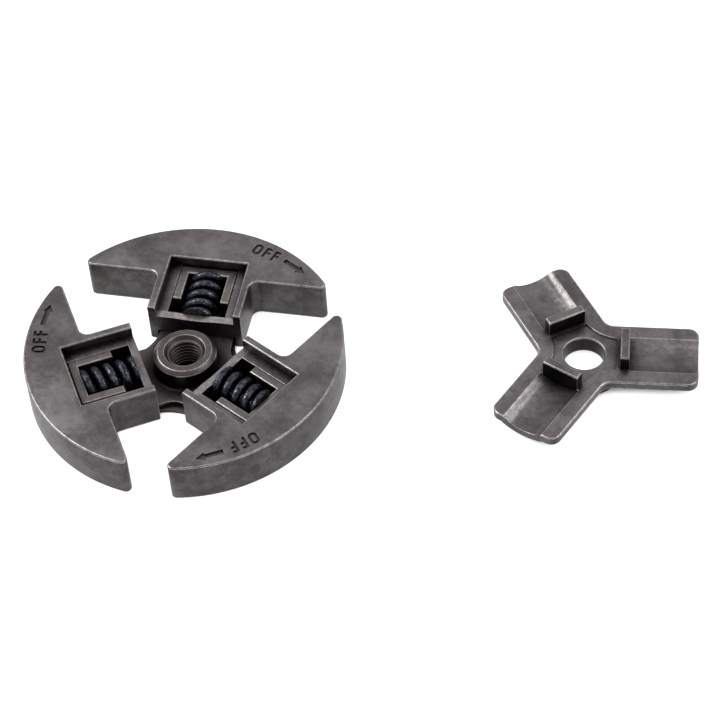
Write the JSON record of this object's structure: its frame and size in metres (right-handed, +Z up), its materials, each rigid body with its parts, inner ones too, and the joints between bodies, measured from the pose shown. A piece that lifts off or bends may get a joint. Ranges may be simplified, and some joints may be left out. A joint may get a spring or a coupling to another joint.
{
  "type": "chainsaw clutch",
  "caption": "Centrifugal clutch: winged shoes forked round a threaded star hub, a coil spring in each hub frame, and a three-armed cover with lugs lying beside it.",
  "frame": {"origin": "on the hub's thread axis, at the level that the shoes and the flange lie on", "axes": "+Z up along the thread axis, out of the clutch's marked face; +Y out along the arm of shoe_back; +X towards the cover that lies beside the clutch"},
  "size_m": [0.146, 0.0733, 0.01],
  "materials": {
    "sintered_steel": "dark phosphated sintered steel, satin, with brighter worn edges",
    "spring_wire": "blue-black oiled spring wire, glossy"
  },
  "bodies": {
    "hub": {"hub": "sintered_steel", "spring_back": "spring_wire", "spring_left": "spring_wire", "spring_right": "spring_wire", "cover": "sintered_steel"},
    "shoe_back": {"shoe_back": "sintered_steel"},
    "shoe_left": {"shoe_left": "sintered_steel"},
    "shoe_right": {"shoe_right": "sintered_steel"}
  },
  "joints": [
    {"name": "shoe_back_slide", "type": "slide", "parent": "hub", "child": "shoe_back", "axis": [0, 1, 0], "range_m": [0, 0.0018], "stiffness_N_per_m": 150000, "deforming": ["spring_back"]},
    {"name": "shoe_left_slide", "type": "slide", "parent": "hub", "child": "shoe_left", "axis": [-0.866, -0.5, 0], "range_m": [0, 0.0018], "stiffness_N_per_m": 150000, "deforming": ["spring_left"]},
    {"name": "shoe_right_slide", "type": "slide", "parent": "hub", "child": "shoe_right", "axis": [0.866, -0.5, 0], "range_m": [0, 0.0018], "stiffness_N_per_m": 150000, "deforming": ["spring_right"]}
  ]
}
